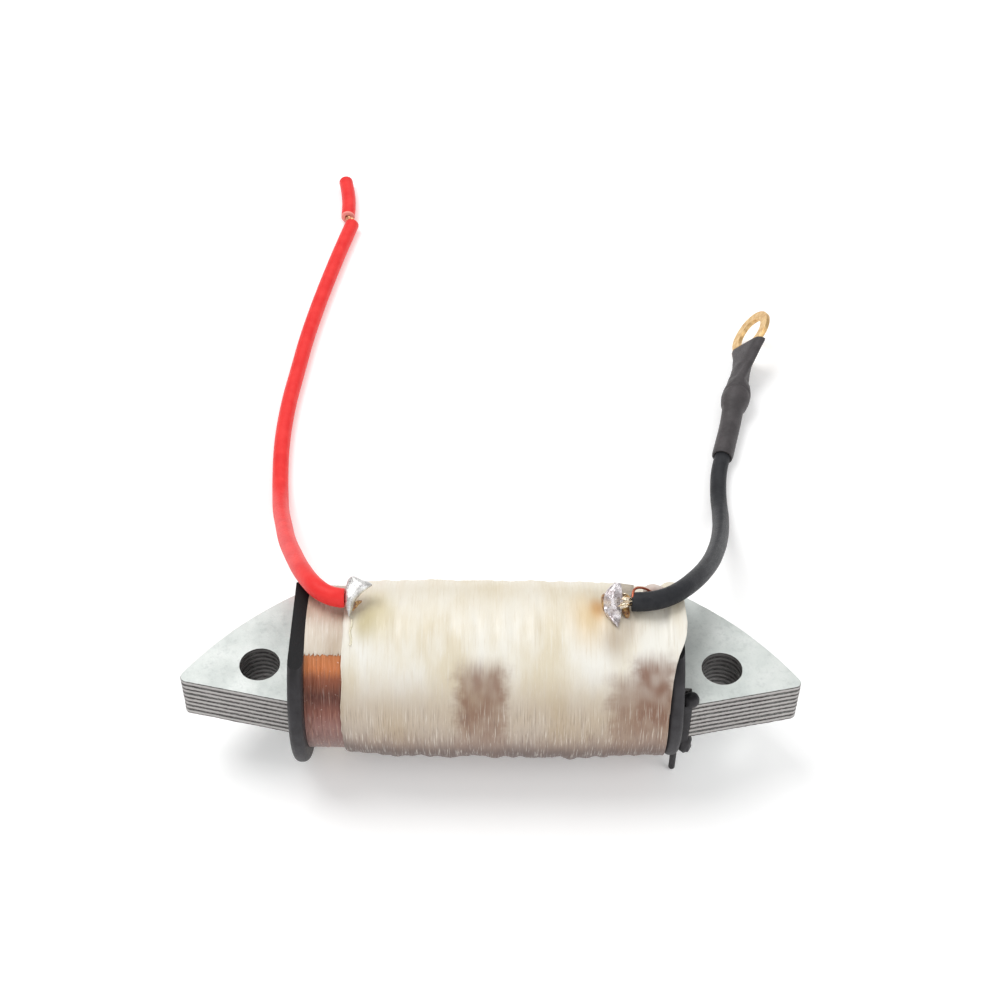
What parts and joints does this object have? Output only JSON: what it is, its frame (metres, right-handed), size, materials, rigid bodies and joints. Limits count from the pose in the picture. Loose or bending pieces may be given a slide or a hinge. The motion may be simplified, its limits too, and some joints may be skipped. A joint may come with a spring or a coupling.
{
  "type": "ignition coil",
  "caption": "Magneto ignition source coil: laminated steel core with pole shoes, split bobbin, taped copper winding, and two soldered leads, one with a ring terminal.",
  "frame": {"origin": "midway between the two bolt holes, on the core's mounting face (the underside of the lamination stack)", "axes": "+X along the line of the bolt holes towards the black lead, +Y towards the curved pole faces that meet the flywheel magnets, +Z along the bolts out of the mounting face"},
  "size_m": [0.0883, 0.1406, 0.0267],
  "materials": {
    "lamination_steel": "zinc-grey rolled sheet with sheared edges",
    "black_nylon": "moulded glass-filled nylon, faint sheen",
    "enamelled_copper": "fine enamelled copper wire, varnished",
    "fibre_tape": "resin-soaked glass-fibre tape, cream, translucent",
    "tinned_tab": "hot-tinned brass sheet",
    "solder": "bright lumpy solder with flux stains",
    "fine_wire": "red-brown enamelled copper wire",
    "bare_copper": "bare stranded copper",
    "red_pvc": "smooth red PVC insulation",
    "black_pvc": "satin black PVC insulation",
    "heat_shrink": "shrunk polyolefin sleeve",
    "brass_terminal": "stamped brass, lightly worn"
  },
  "bodies": {
    "root": {"lamination_1": "lamination_steel", "lamination_2": "lamination_steel", "lamination_3": "lamination_steel", "lamination_4": "lamination_steel", "lamination_5": "lamination_steel", "lamination_6": "lamination_steel", "lamination_7": "lamination_steel", "lamination_8": "lamination_steel", "bobbin_upper_half": "black_nylon", "bobbin_lower_half": "black_nylon", "bobbin_key": "black_nylon", "copper_winding": "enamelled_copper", "inner_tape_wrap": "fibre_tape", "outer_tape_wrap": "fibre_tape", "red_terminal_tab": "tinned_tab", "red_solder_joint": "solder", "start_wire": "fine_wire", "black_terminal_tab": "tinned_tab", "black_solder_joint": "solder", "finish_wire": "fine_wire", "fibre_pad": "fibre_tape", "red_lead": "red_pvc", "red_joint_strands": "bare_copper", "red_tip_strands": "bare_copper", "red_insulation_slug": "red_pvc", "black_lead": "black_pvc", "black_joint_strands": "bare_copper", "crimp_strands": "bare_copper", "ring_terminal": "brass_terminal", "heat_shrink_sleeve": "heat_shrink"}
  },
  "joints": []
}
